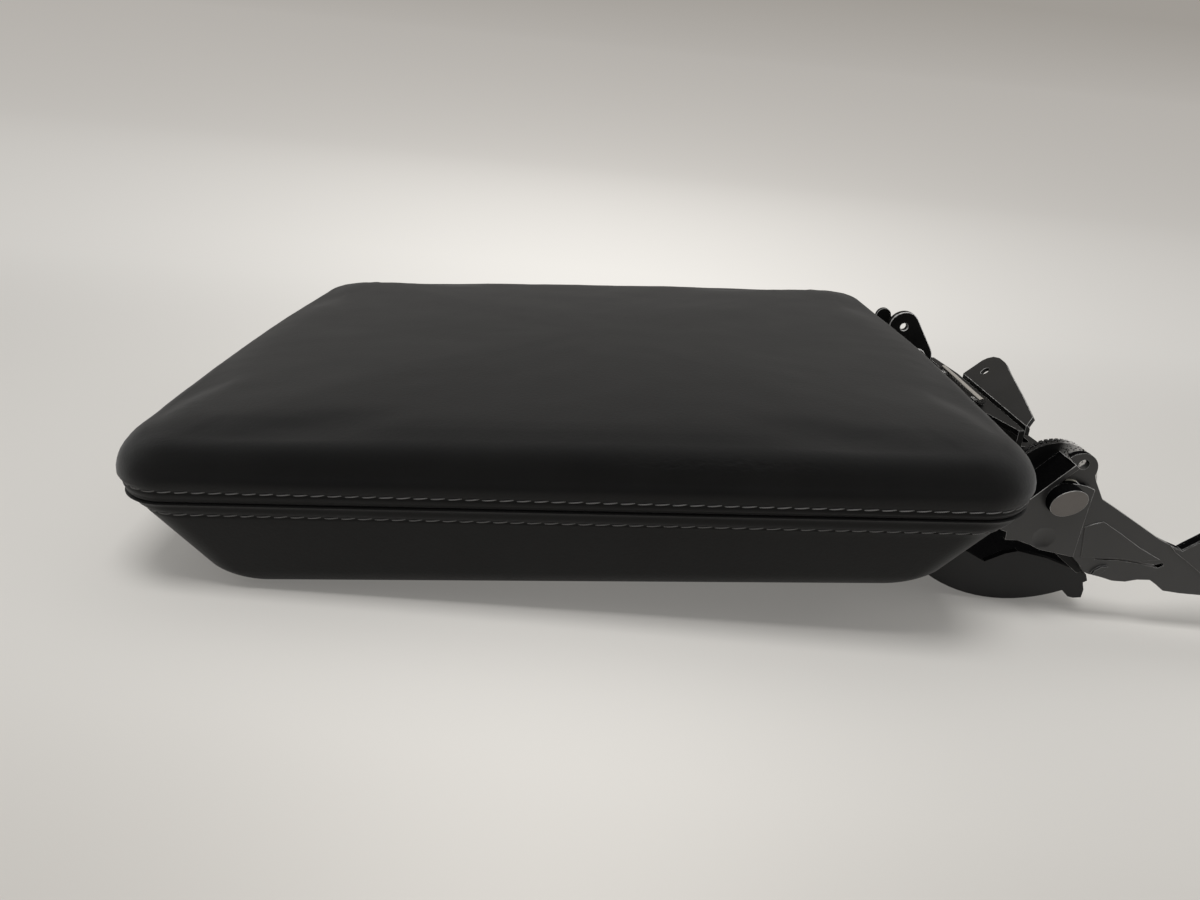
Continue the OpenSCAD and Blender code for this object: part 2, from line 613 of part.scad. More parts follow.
// Crescent cover below the hinge, closed by a cheek at each side.
module shroud() placed() color([0.12, 0.12, 0.12]) {
    a0 = -179 + asin(shroud_drop/shroud_r);
    a1 = -56.5;
    wall = [for (a = [a0:4:a1]) on_shroud(a, shroud_r), on_shroud(a1, shroud_r)];
    inner = [for (a = [a1:-4:a0]) on_shroud(a, shroud_r - shroud_t)];
    profile(-shroud_y, 2*shroud_y) polygon(concat(wall, inner));
    for (s = [0, 1]) mirror([0, s, 0]) {
        profile(-shroud_y, shroud_t) polygon(concat(wall,
            [on_shroud(a1 + 0.7, shroud_r*0.945), [7.3, -33.1], [-4.4, -30.2], [-9.1, -31.4], [-16.3, -35.2],
             [-23.8, -30.8], on_shroud(-138.2, shroud_r*0.805)]));
        profile(-shroud_y, 4) polygon([on_shroud(-66.6, shroud_r + 0.4), on_shroud(-65.3, shroud_r + 3.8),
            on_shroud(-63.6, shroud_r + 5.3), on_shroud(-60.9, shroud_r + 6.5), on_shroud(-59.1, shroud_r + 3.5),
            on_shroud(-58.3, shroud_r + 0.2), on_shroud(-60.9, shroud_r - 3.5), on_shroud(-65, shroud_r - 2)]);
    }
    shroud_flange();
}
shroud_screw_x = panel_hx + rim_w/2 + 0.5;
module shroud_screw_places()
    for (y = [-1, 0, 1]*(shroud_y - 24))
        translate([shroud_screw_x, y, bottom_z(shroud_screw_x) - shroud_t - 0.1]) children();
module shroud_flange() {
    difference() {
        translate([shroud_x, 0, bottom_z(shroud_x) - shroud_t - 0.1]) rotate([0, -low_tilt, 0])
            translate([-16, -shroud_y, 0]) cube([18, 2*shroud_y, shroud_t]);
        shroud_screw_places() cylinder(h = 16, r = 1.9, center = true);
    }
}
module shroud_screws() placed() color([0.6, 0.6, 0.62]) {
    shroud_screw_places() {
        translate([0, 0, -1.88]) cylinder(h = 1.8, r = 3.5);
        translate([0, 0, -0.5]) cylinder(h = shroud_t + panel_t + 2.5, r = 1.75);
    }
}

cover_upper();
foam_pad();
core();
joining_frame();
cover_lower();
inner_panel();
panel_screws();
bracket_near();
bracket_far();
bracket_screws();
pivot_near();
pivot_far();
friction_discs();
shroud();
shroud_screws();
arm_near();
arm_far();
bush_near();
bush_far();
friction_drum();
anchor_ear();
cross_plate();
flap();
flap_rivets();
rod();
rod_clips();
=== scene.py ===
import json
import math
import bmesh
import bpy
import numpy as np
from mathutils import Matrix, Vector, noise
from mathutils.kdtree import KDTree


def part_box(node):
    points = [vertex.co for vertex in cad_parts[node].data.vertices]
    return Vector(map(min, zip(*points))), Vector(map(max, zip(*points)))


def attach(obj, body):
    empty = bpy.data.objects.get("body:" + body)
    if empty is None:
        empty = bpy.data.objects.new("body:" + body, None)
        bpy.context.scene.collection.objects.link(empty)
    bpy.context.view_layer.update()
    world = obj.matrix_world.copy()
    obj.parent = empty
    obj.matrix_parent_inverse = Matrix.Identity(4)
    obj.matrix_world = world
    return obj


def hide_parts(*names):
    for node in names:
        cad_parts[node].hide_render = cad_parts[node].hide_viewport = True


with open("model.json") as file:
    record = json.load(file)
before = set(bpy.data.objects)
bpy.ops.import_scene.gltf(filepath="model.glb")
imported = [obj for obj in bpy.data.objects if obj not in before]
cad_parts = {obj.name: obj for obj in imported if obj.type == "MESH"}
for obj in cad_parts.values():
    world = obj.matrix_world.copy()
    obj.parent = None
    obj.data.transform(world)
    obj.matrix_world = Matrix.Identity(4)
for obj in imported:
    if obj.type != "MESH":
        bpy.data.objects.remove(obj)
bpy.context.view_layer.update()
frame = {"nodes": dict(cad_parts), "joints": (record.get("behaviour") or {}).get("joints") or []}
scene = bpy.context.scene
scene.view_settings.view_transform = "Standard"

# The studio: the armrest lies upside up on a pale table that falls away a little to the right
# of the lid's seam plane, because the lid rests on its front edge and on the hinge's shroud.
# The sheet sweeps up behind it, and one soft lamp hangs overhead. The sheet's colour carries
# painted light: a painted pool of light in the middle and painted shade towards the front and
# up the sweep.

seam_half = 0.0009  # half the height of the groove between the covers
cover_low, cover_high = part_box("cover_upper")
lid_centre = Vector(((cover_low[0] + cover_high[0]) / 2, 0.0, cover_low[2] - seam_half))


def plug(tree, socket, value):
    """Links a Wire or an output socket to an input, or sets the input's own value."""
    if isinstance(value, Wire):
        value = value.socket
    if isinstance(value, bpy.types.NodeSocket):
        tree.links.new(value, socket)
    else:
        socket.default_value = value


def add_node(tree, kind, settings=None, sockets=None):
    """Adds one node: its settings first, then its inputs. The keys i0, i1 and so on are inputs
    by place, and any other key is an input's name."""
    made = tree.nodes.new(kind)
    for key, value in (settings or {}).items():
        setattr(made, key, value)
    for key, value in (sockets or {}).items():
        by_place = key[0] == "i" and key[1:].isdigit()
        plug(tree, made.inputs[int(key[1:]) if by_place else key.replace("_", " ")], value)
    return made


class Wire:
    """One output socket of a node. Sums written with it add their Math nodes to the tree."""

    def __init__(self, tree, socket):
        self.tree, self.socket = tree, socket

    def maths(self, operation, *terms, clamp=False):
        """A Math node with these terms as its inputs, in order."""
        made = add_node(self.tree, "ShaderNodeMath", {"operation": operation, "use_clamp": clamp},
                        {f"i{i}": term for i, term in enumerate(terms)})
        return Wire(self.tree, made.outputs[0])

    def __add__(self, o): return self.maths("ADD", self, o)
    def __radd__(self, o): return self.maths("ADD", o, self)
    def __sub__(self, o): return self.maths("SUBTRACT", self, o)
    def __rsub__(self, o): return self.maths("SUBTRACT", o, self)
    def __mul__(self, o): return self.maths("MULTIPLY", self, o)
    def __truediv__(self, o): return self.maths("DIVIDE", self, o)
    def __abs__(self): return self.maths("ABSOLUTE", self)
    def held(self): return self.maths("ADD", self, 0.0, clamp=True)

    def bell(self, middle, width):
        """1 at middle, falling off evenly on both sides."""
        off = (self - middle) * (1 / width)
        return self.maths("EXPONENT", off * off * -1.0)

    def ramp(self, low, high):
        """0 below low, 1 above high, smooth between."""
        made = add_node(self.tree, "ShaderNodeMapRange", {"interpolation_type": "SMOOTHSTEP"},
                        {"Value": self, "From_Min": low, "From_Max": high})
        return Wire(self.tree, made.outputs["Result"])


class Finish:
    """A material: its tree, one method that adds any node, and its Principled shader."""

    def __init__(self, name, **fixed):
        self.material = bpy.data.materials.new(name)
        self.material.use_nodes = True
        self.tree = self.material.node_tree
        self.shader = self.tree.nodes["Principled BSDF"]
        for socket, value in fixed.items():
            self.shader.inputs[socket.replace("_", " ")].default_value = value
        self.place = self.node("ShaderNodeTexCoord")["Object"]

    def node(self, kind, settings=None, **sockets):
        made = add_node(self.tree, kind, settings, sockets)
        return {s.name: Wire(self.tree, s) for s in made.outputs if s.enabled}

    def feed(self, **sockets):
        for key, value in sockets.items():
            plug(self.tree, self.shader.inputs[key.replace("_", " ")], value)

    def grain(self, scale, detail=2.0, stretch=(1, 1, 1), rough=0.5):
        """Noise of this scale, from 0 to 1."""
        at = self.node("ShaderNodeMapping", Vector=self.place, Scale=stretch)["Vector"]
        return self.node("ShaderNodeTexNoise", Vector=at, Scale=scale, Detail=detail, Roughness=rough)["Fac"]

    def shade(self, dark, light, share):
        """A colour between dark and light by share."""
        dark, light = [end if isinstance(end, Wire) else (*end, 1.0) for end in (dark, light)]
        made = add_node(self.tree, "ShaderNodeMix", {"data_type": "RGBA"},
                        {"i0": share, "i6": dark, "i7": light})
        return Wire(self.tree, made.outputs[2])

    def axes(self, place=None):
        found = self.node("ShaderNodeSeparateXYZ", Vector=place or self.place)
        return found["X"], found["Y"], found["Z"]

    def bump(self, height, strength, distance, normal=None):
        parts = {"Height": height, "Strength": strength, "Distance": distance}
        if normal is not None:
            parts["Normal"] = normal
        return self.node("ShaderNodeBump", **parts)["Normal"]


def mesh_piece(name, points, faces, materials, smooth=True):
    mesh = bpy.data.meshes.new(name)
    mesh.from_pydata([tuple(map(float, p)) for p in points], [], faces)
    mesh.update()
    for m in materials:
        mesh.materials.append(m)
    mesh.polygons.foreach_set("use_smooth", [smooth] * len(mesh.polygons))
    made = bpy.data.objects.new(name, mesh)
    scene.collection.objects.link(made)
    return made


table_slope, table_drop, lid_front = 0.08, 0.037, -0.13
sheet_half, sheet_front = 3.0, -2.5
backdrop_start, backdrop_radius, backdrop_top = 1.5, 0.9, 2.6
sweep = [(y, 0.0) for y in (sheet_front, -0.6, 0.4, 1.0)]
sweep += [(backdrop_start + backdrop_radius * math.sin(a), backdrop_radius * (1 - math.cos(a)))
          for a in np.linspace(0, math.pi / 2, 24)]
sweep += [(backdrop_start + backdrop_radius, backdrop_top)]
sheet_points, sheet_faces = [], []
for x in (-sheet_half, sheet_half):
    for y, up in sweep:
        table_z = lid_centre.z - table_drop - table_slope * (x - lid_front)
        sheet_points.append((x + lid_centre.x, y, table_z + up))
for i in range(len(sweep) - 1):
    sheet_faces.append((i, i + len(sweep), i + len(sweep) + 1, i + 1))
pale = Finish("pale_card", Roughness=0.9, Specular_IOR_Level=0.15)
side, back, high = pale.axes()
rise_share, beam_start, beam_width = 0.9, 0.416, 0.47
away = back + (high + side * table_slope) * rise_share
# The sheet's colour is painted light: a painted pool of light round the middle, brightest a little behind the
# lid and spreading sideways.
spread = ((side - lid_centre.x) / (away + beam_start)).bell(0.0, beam_width)
near_glow, mid_glow, far_fade, glow_end = 0.22, 0.28, 0.26, 0.45
painted_glow = spread * (away.ramp(-0.12, glow_end) * mid_glow + near_glow
                 - ((away - glow_end) * far_fade).held()).held()
# The front, far and top cards are the middle card darkened as painted shade. They stand in for the light
# falling off towards the front, far off and up the sweep.
front_card_painted_shade, mid_card, far_card_painted_shade, top_card_painted_shade = ((0.50, 0.48, 0.45), (0.60, 0.582, 0.552),
                                            (0.455, 0.432, 0.403), (0.35, 0.328, 0.30))
painted_falloff = pale.shade(mid_card, far_card_painted_shade, ((away - 0.3) / 2.1).held())
painted_falloff = pale.shade(painted_falloff, top_card_painted_shade, ((away - 2.35) / 0.35).held())
painted_falloff = pale.shade(front_card_painted_shade, painted_falloff, back.ramp(-0.26, -0.13))
card_and_painted_light = pale.node("ShaderNodeVectorMath", {"operation": "SCALE"}, Vector=painted_falloff, Scale=painted_glow + 1.0)["Vector"]
paths = pale.node("ShaderNodeLightPath")
watched = (paths["Is Camera Ray"] + paths["Is Glossy Ray"]).held()
shine_near, shine_far = 0.25, 1.0
own_light = (away.ramp(-0.02, 0.34) * (shine_far - shine_near) + shine_near) * watched
shine = pale.node("ShaderNodeEmission", Color=card_and_painted_light)["Emission"]
lit = pale.node("ShaderNodeVectorMath", {"operation": "SCALE"}, Vector=card_and_painted_light, Scale=1.13)["Vector"]
unseen_card = (0.40, 0.39, 0.375)
pale.feed(Base_Color=pale.shade(unseen_card, lit, watched))
blend = pale.node("ShaderNodeMixShader", Fac=own_light, i1=pale.shader.outputs[0], i2=shine)["Shader"]
plug(pale.tree, pale.tree.nodes["Material Output"].inputs["Surface"], blend)
table = mesh_piece("table_sheet", sheet_points, sheet_faces, [pale.material])

camera_data = bpy.data.cameras.new("photo_camera")
camera_data.lens, camera_data.sensor_width, camera_data.clip_start = 24.0, 36.0, 0.01
camera = bpy.data.objects.new("photo_camera", camera_data)
camera.matrix_world = Matrix(((0.99964, -0.02055, 0.01716, lid_centre.x + 0.01361),
                              (0.02412, 0.41387, -0.91003, -0.34302),
                              (0.01160, 0.91012, 0.41421, lid_centre.z + 0.12358),
                              (0, 0, 0, 1)))
scene.collection.objects.link(camera)
scene.camera = camera

world = bpy.data.worlds.new("studio_air")
scene.world = world
world.use_nodes = True
air = world.node_tree
dark_front, bright_back = (0.06, 0.06, 0.061, 1), (0.95, 0.945, 0.93, 1)
direction = add_node(air, "ShaderNodeTexCoord").outputs["Generated"]
facing = add_node(air, "ShaderNodeSeparateXYZ", sockets={"i0": direction})
front_to_back = Wire(air, facing.outputs["Y"]).ramp(-0.9, 0.6)
level = add_node(air, "ShaderNodeMix", {"data_type": "RGBA"},
                 {"i0": front_to_back, "i6": dark_front, "i7": bright_back})
plug(air, air.nodes["Background"].inputs["Color"], level.outputs[2])

lamp_data = bpy.data.lights.new("overhead_lamp", "AREA")
lamp_data.shape, lamp_data.size, lamp_data.size_y, lamp_data.energy = "RECTANGLE", 0.5, 0.35, 7.6
lamp = bpy.data.objects.new("overhead_lamp", lamp_data)
lamp.visible_glossy = False
lamp.location = lid_centre + Vector((0.10, -0.36, 1.10))
lamp_aim = lid_centre + Vector((0.10, 0.0, 0.0))
lamp.rotation_euler = (lamp_aim - lamp.location).to_track_quat("-Z", "Y").to_euler()
scene.collection.objects.link(lamp)

# Upper cover: black leather on a thin backing, pulled over the foam pad and turned in at the
# seam. The foam swells it into a low crown with soft rolled edges. It is glued at the seam.

lid_half, wide_half, end_bow, seam_in = 0.155, 0.121, 0.0036, 0.0014
edge_high, girth_high, edge_in, crown = 0.0201, 0.0066, 0.0088, 0.0034
corner_radius, corner_steps, long_steps, short_steps = 0.0197, 15, 54, 42


def ring(inset_x, inset_y, radius, z, tilt=0.0):
    """One closed line round the lid: straight sides, round corners, bowed ends."""
    hx, hy = lid_half - inset_x - end_bow, wide_half - inset_y
    cx, cy = hx - radius, hy - radius
    corners = ((cx, cy), (-cx, cy), (-cx, -cy), (cx, -cy))
    sides = (((cx, hy), (-cx, hy)), ((-hx, cy), (-hx, -cy)), ((-cx, -hy), (cx, -hy)), ((hx, -cy), (hx, cy)))
    line = []
    for quarter, (corner, (start, end)) in enumerate(zip(corners, sides)):
        for t in np.radians(np.linspace(quarter * 90, quarter * 90 + 90, corner_steps)):
            line.append((corner[0] + radius * math.cos(t), corner[1] + radius * math.sin(t)))
        count = short_steps if quarter % 2 else long_steps
        for s in (k / count for k in range(1, count)):
            line.append(tuple(a * (1 - s) + b * s for a, b in zip(start, end)))
    line = np.array(line)
    bulge = 1 - (line[:, 1] / hy) ** 2
    near_end = np.clip(abs(line[:, 0]) / (hx + 1e-9), 0, 1) ** 6
    line[:, 0] += np.sign(line[:, 0]) * end_bow * bulge * near_end
    return np.column_stack([line, z + line[:, 0] * math.tan(tilt)])


def scaled_ring(base, share, z):
    """The ring drawn towards the middle of the top."""
    made = base.copy()
    made[:, :2] *= share
    made[:, 2] = z
    return made


def skin(name, rings, materials, middles=(None, None)):
    """Joins rings in order into one surface, with its UV map in metres along and across. Each of
    the middles closes an end with a fan."""
    count = len(rings[0])
    points = np.vstack(rings)
    across = np.cumsum([0] + [np.linalg.norm(rings[i + 1] - rings[i], axis=1).mean()
                              for i in range(len(rings) - 1)])
    widest = max(rings, key=lambda r: np.abs(r[:, 0]).max())
    steps = np.linalg.norm(np.roll(widest, -1, 0) - widest, axis=1)
    along = np.concatenate([[0], np.cumsum(steps)])
    faces, uv = [], []
    for i in range(len(rings) - 1):
        for k in range(count):
            n = (k + 1) % count
            faces.append((i * count + k, i * count + n, (i + 1) * count + n, (i + 1) * count + k))
            uv += [(along[k], across[i]), (along[k + 1], across[i]),
                   (along[k + 1], across[i + 1]), (along[k], across[i + 1])]
    points = list(points)
    for end, middle in zip((0, len(rings) - 1), middles):
        if middle is not None:
            points.append(middle)
            for k in range(count):
                n = (k + 1) % count
                pair = (k, n) if end else (n, k)
                faces.append((end * count + pair[0], end * count + pair[1], len(points) - 1))
                uv += [(along[k], across[end])] * 3
    made = mesh_piece(name, points, faces, materials)
    layer = made.data.uv_layers.new(name="along_seam")
    layer.data.foreach_set("uv", np.array(uv, float).ravel())
    return made


stitch_rise, stitch_pitch, stitch_length = 0.0044, 0.0055, 0.0052
row_fall_upper, row_fall_lower = 0.0014, 0.0016
pinch_width, pinch_upper, pinch_lower = 0.0007, 0.00034, 0.00032
puff_width, puff_upper, puff_lower = 0.0010, 0.00022, 0.0002


def row_falls(line, z, girth, most):
    """The stitch rows and their pinch fall a little towards the hinge."""
    share = np.clip((line[:, 0] + lid_half) / (2 * lid_half), 0, 1)
    line[:, 2] -= most * share * math.sin(math.pi * np.clip((abs(z) - seam_half) / (girth - seam_half), 0, 1))
    return line


def hump(z, middle, width):
    """1 at middle, falling off evenly on both sides."""
    return math.exp(-((z - middle) / width) ** 2)


def upper_side(z):
    """How far the pad's side lies inside the girth at height z, with the lip, the puff between
    seam and stitches and the pinch of the stitch row."""
    base = seam_in * (1 - (z - seam_half) / (girth_high - seam_half)) if z < girth_high else 0.0
    puff = -puff_upper * hump(z, 0.0026, puff_width)
    return base + puff + pinch_upper * hump(z, stitch_rise, pinch_width)


def upper_rings():
    """From the turned-in lip in the groove over the stitch row and the rolled edge to the top."""
    rings = []
    for inset, z in ((0.0046, 0.00125), (0.0036, 0.00075), (0.0027, 0.0004), (0.0020, 0.00024),
                     (0.0015, 0.0004), (0.00128, 0.0008)):
        rings.append(ring(inset, inset, 0.0190, z))
    for z in (0.0015, 0.0021, 0.0027, 0.0032, 0.0036, 0.0040, 0.0044, 0.0048, 0.0052, 0.0058, 0.0066):
        side = ring(upper_side(z), upper_side(z), corner_radius, z)
        rings.append(row_falls(side, z, girth_high, row_fall_upper))
    rise = edge_high - girth_high
    for a in np.radians(np.arange(7.5, 90.1, 7.5)):
        d = edge_in * (1 - math.cos(a))
        rings.append(ring(d, d, 0.0200 - 0.3 * d, girth_high + rise * math.sin(a)))
    rim = rings[-1]
    shares = np.concatenate([np.linspace(0.975, 0.70, 12), np.linspace(0.655, 0.07, 14)])
    for s in shares:
        rings.append(scaled_ring(rim, s, edge_high + crown * (1 - s * s)))
    return rings


outer = upper_rings()
leather_thick = 0.0018
top_middle = np.array([0, 0, edge_high + crown])
top_middle_inside = np.array([0, 0, edge_high - leather_thick + crown])
inner = []
for inset, z in ((0.0046, 0.0027), (0.0034, 0.0030), (0.0022, 0.0042), (0.0018, 0.0066)):
    inner.append(ring(inset, inset, 0.0185, z))
for a in np.radians((20, 40, 60, 75, 90)):
    d = leather_thick + (edge_in - leather_thick) * (1 - math.cos(a))
    up = (edge_high - girth_high - leather_thick) * math.sin(a)
    inner.append(ring(d, d, 0.0180 - 0.3 * d, girth_high + up))
inner_rim = inner[-1]
for s in (0.9, 0.75, 0.55, 0.3, 0.08):
    inner.append(scaled_ring(inner_rim, s, edge_high - leather_thick + crown * (1 - s * s)))

leather = Finish("black_leather", Specular_IOR_Level=0.17, Sheen_Weight=0.20, Sheen_Roughness=0.42)
run = leather.node("ShaderNodeUVMap", {"uv_map": "along_seam"})["UV"]
u, v, _ = leather.axes(run)
x, y, z = leather.axes()
x, z = x - lid_centre.x, z - lid_centre.z
pebble = leather.node("ShaderNodeTexVoronoi", {"feature": "SMOOTH_F1"}, Vector=leather.place,
                      Scale=900.0, Smoothness=0.6)["Distance"]
pores = leather.grain(2600.0, 2.0)
soft = leather.grain(55.0, 3.0)
patches = leather.grain(9.0, 3.0)
hide = pebble * 0.55 + pores * 0.25 + soft * 0.6
creases = leather.grain(260.0, 4.0, (0.55, 1.5, 1.0), 0.62)
crease_line = abs(creases - 0.5) * -4.0 + 1.0
crease_here = z.bell(0.0150, 0.0028) * (1.0 - y.ramp(-0.112, -0.098)) * x.bell(0.048, 0.034)
crease_all = z.bell(0.0185, 0.0035) * soft.ramp(0.5, 0.72) * 0.25
wrinkle = crease_line.held() * (crease_here * 1.3 + crease_all)
tone = patches * 0.6 + soft * 0.4
row_share = (x * (0.5 / lid_half) + 0.5).held()
# Painted shade: the leather colour darkens in a thin band along each stitch row, where the pinch lies in shade.
row_shade_depth, row_width = 1.2, 0.00055
row_painted_shade = ((z - (row_share * -0.0013 + stitch_rise)).bell(0.0, row_width)
            + (z + stitch_rise + row_share * 0.0015).bell(0.0, row_width))
dark_hide, light_hide = (0.0062, 0.0061, 0.0060), (0.0088, 0.0086, 0.0084)
colour = leather.shade(dark_hide, light_hide, tone.ramp(0.3, 0.7) - row_painted_shade * row_shade_depth)
bumped = leather.bump(hide, 0.22, 0.00022)
bumped = leather.bump(wrinkle, 0.55, 0.00035, bumped)
rough_hide = 0.47 + (pores * 0.10 + soft * 0.10) + wrinkle * -0.05
leather.feed(Base_Color=colour, Roughness=rough_hide, Normal=bumped)

upper_cover = skin("upper_cover", list(reversed(inner)) + outer, [leather.material],
                   (top_middle_inside, top_middle))

glued_below, swell_most, swell_frames = 0.0085, 0.0016, 20
# The pad's swell, from a coarse copy of its outside held at the seam and blown up a little.
blank = skin("swelling_blank", [ring(0.004, 0.004, 0.018, 0.001)] + outer[12:], [],
             (np.array([0, 0, 0.001]), top_middle))
bpy.context.view_layer.objects.active = blank
shrink = blank.modifiers.new("even_mesh", "REMESH")
shrink.mode, shrink.voxel_size = "VOXEL", 0.006
bpy.ops.object.modifier_apply(modifier=shrink.name)
still = blank.vertex_groups.new(name="glued")
for vert in blank.data.vertices:
    still.add([vert.index], 1.0 if vert.co.z < glued_below else 0.0, "REPLACE")
start = np.array([vert.co[:] for vert in blank.data.vertices])
cloth = blank.modifiers.new("swell", "CLOTH")
cloth.settings.use_pressure = True
cloth.settings.uniform_pressure_force = 4.0
cloth.settings.effector_weights.gravity = 0.0
cloth.settings.vertex_group_mass = "glued"
cloth.settings.tension_stiffness = cloth.settings.compression_stiffness = 30.0
cloth.point_cache.frame_start, cloth.point_cache.frame_end = 1, swell_frames
for f in range(1, swell_frames + 1):
    scene.frame_set(f)
swollen = blank.evaluated_get(bpy.context.evaluated_depsgraph_get())
moved = np.array([vert.co[:] for vert in swollen.data.vertices]) - start
scene.frame_set(1)
far = np.linalg.norm(moved, axis=1)
moved *= np.where(far > swell_most, swell_most / np.maximum(far, 1e-9), 1.0)[:, None]
blank_points = KDTree(len(start))
for i, p in enumerate(start):
    blank_points.insert(p, i)
blank_points.balance()
for vert in upper_cover.data.vertices:
    if vert.co.z > glued_below:
        near = blank_points.find_n(vert.co, 6)
        weight = np.array([1 / (d + 0.002) ** 2 for _, _, d in near])
        vert.co += Vector((moved[[i for _, i, _ in near]] * weight[:, None]).sum(0) / weight.sum())
bpy.data.objects.remove(blank)

# Leather is never quite even: waves of up to a quarter of a millimetre, that fade out above
# the stitch row.
waves_from, waves_full, second_wave = 0.006, 0.004, Vector((3, 1, 7))
for vert in upper_cover.data.vertices:
    if vert.co.z > waves_from:
        lift = 0.00022 * noise.noise(vert.co * 38) + 0.00010 * noise.noise(vert.co * 95 + second_wave)
        vert.co += vert.normal * lift * min(1.0, (vert.co.z - waves_from) / waves_full)


def seated(piece):
    """Moves a lid piece's mesh from the lid's own centre to its place in the whole armrest."""
    piece.data.transform(Matrix.Translation(lid_centre))


seated(upper_cover)
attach(upper_cover, "lid")
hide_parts("cover_upper")

# Lower cover: a moulded shell wrapped in the same leather, with a rolled lip at the groove, an
# inward rim under the lid and two slots through which the hinge brackets pass.

low_mid, low_edge, low_tilt = 0.0338, 0.0065, math.atan(0.0064 / 0.310)
low_in_end, low_in_side, shell_thick, bottom_corner = 0.028, 0.0098, 0.003, 0.014
seam_corner, taper_end = 0.0193, 0.808


def lower_ring(share, over=0.0, skin_in=0.0, lift=0.0, dent=0.0):
    """A ring of the lower shell: share runs from 0 at the seam to 1 at the bottom, and over is
    the angle round the bottom edge."""
    turned = low_edge * (1 - math.cos(over))
    lip = seam_in * (1 - share / taper_end) * (share < taper_end)
    radius = seam_corner + (bottom_corner - seam_corner) * min(1.0, share / taper_end)
    return ring(lip + low_in_end * share + turned + skin_in + dent,
                lip + low_in_side * share + 0.6 * turned + skin_in + dent,
                radius - 0.5 * skin_in, -low_mid * share + lift, low_tilt * share)


lower_outer = []
for inset, z in ((0.0047, -0.0010), (0.0036, -0.0006), (0.0026, -0.00034), (0.0018, -0.00020),
                 (0.0012, -0.00026), (0.00092, -0.00050), (0.00122, -0.0009), (0.0015, -0.0013)):
    lower_outer.append(ring(inset, inset, 0.0190, z))
rows_end = 0.0060
for z in (0.0017, 0.0022, 0.0028, 0.0033, 0.0037, 0.0041, 0.0045, 0.0049, 0.0053, rows_end):
    dent = pinch_lower * hump(z, stitch_rise, pinch_width) - puff_lower * hump(z, 0.0025, puff_width)
    lower_outer.append(row_falls(lower_ring(z / low_mid, dent=dent), z, girth_high, row_fall_lower))
bottom_start = 1 - low_edge / low_mid
for t in np.linspace(rows_end / low_mid, bottom_start, 9)[1:]:
    lower_outer.append(lower_ring(t))
for a in np.radians(np.arange(10, 90.1, 10)):
    lower_outer.append(lower_ring(1 - low_edge * (1 - math.sin(a)) / low_mid, a))
rim_wide, rim_x, rim_y = 0.009, low_in_end + low_edge, low_in_side + 0.6 * low_edge
for s in (0.35, 0.7, 0.93):
    lower_outer.append(ring(rim_x + rim_wide * s, rim_y + rim_wide * s, bottom_corner - 0.004 * s,
                            -low_mid, low_tilt))
for up in (0.0006, 0.0026):
    lower_outer.append(ring(rim_x + rim_wide, rim_y + rim_wide, 0.0100, -low_mid + up, low_tilt))
lower_inner = []
for t, over in ((1.0, 70), (0.93, 30), (0.80, 0), (0.5, 0), (0.2, 0)):
    lower_inner.append(lower_ring(t, math.radians(over), shell_thick, shell_thick * t))
lower_inner.append(ring(0.0050, 0.0050, 0.0165, -0.0030))
lower_rings = lower_outer + lower_inner + [lower_outer[0].copy()]
lower_cover = skin("lower_cover", list(reversed(lower_rings)), [leather.material])


def merged(piece):
    """Joins points that lie on each other and turns all faces outwards."""
    made = bmesh.new()
    made.from_mesh(piece.data)
    bmesh.ops.remove_doubles(made, verts=made.verts, dist=1e-6)
    bmesh.ops.recalc_face_normals(made, faces=made.faces)
    made.to_mesh(piece.data)
    made.free()


def settled(piece):
    """Applies every modifier and leaves a plain mesh."""
    bpy.context.view_layer.update()
    made = bpy.data.meshes.new_from_object(piece.evaluated_get(bpy.context.evaluated_depsgraph_get()))
    piece.modifiers.clear()
    piece.data = made
    return piece


merged(lower_cover)
slot_mid_y, slot_half = 0.08675, 0.0019
slot_x, slot_z = (0.125, 0.170), (-0.0197, -0.0075)
box_faces = [(0, 1, 3, 2), (4, 6, 7, 5), (0, 4, 5, 1), (2, 3, 7, 6), (0, 2, 6, 4), (1, 5, 7, 3)]
for side in (-1, 1):
    slot_y = (side * slot_mid_y - slot_half, side * slot_mid_y + slot_half)
    corners = [(cx, cy, cz) for cx in slot_x for cy in slot_y for cz in slot_z]
    slot_block = mesh_piece("slot_block", corners, box_faces, [], False)
    merged(slot_block)
    cut = lower_cover.modifiers.new("slot", "BOOLEAN")
    cut.operation, cut.solver, cut.object = "DIFFERENCE", "EXACT", slot_block
    settled(lower_cover)
    bpy.data.objects.remove(slot_block)
lower_cover.data.polygons.foreach_set("use_smooth", [True] * len(lower_cover.data.polygons))
lower_cover.data.set_sharp_from_angle(angle=math.radians(40))
seated(lower_cover)
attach(lower_cover, "lid")
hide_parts("cover_lower")

# Top stitching: grey bonded thread in two rows, one above and one below the seam groove, that
# holds the leather's turned edge to its backing all the way round.

thread = Finish("grey_thread", Roughness=0.75, Specular_IOR_Level=0.25)
twist = thread.node("ShaderNodeTexWave", {"bands_direction": "DIAGONAL"}, Vector=thread.place, Scale=900.0,
                    Distortion=1.0)["Fac"]
thread.feed(Base_Color=thread.shade((0.17, 0.168, 0.165), (0.34, 0.335, 0.33), twist),
            Normal=thread.bump(twist, 0.5, 0.0001))

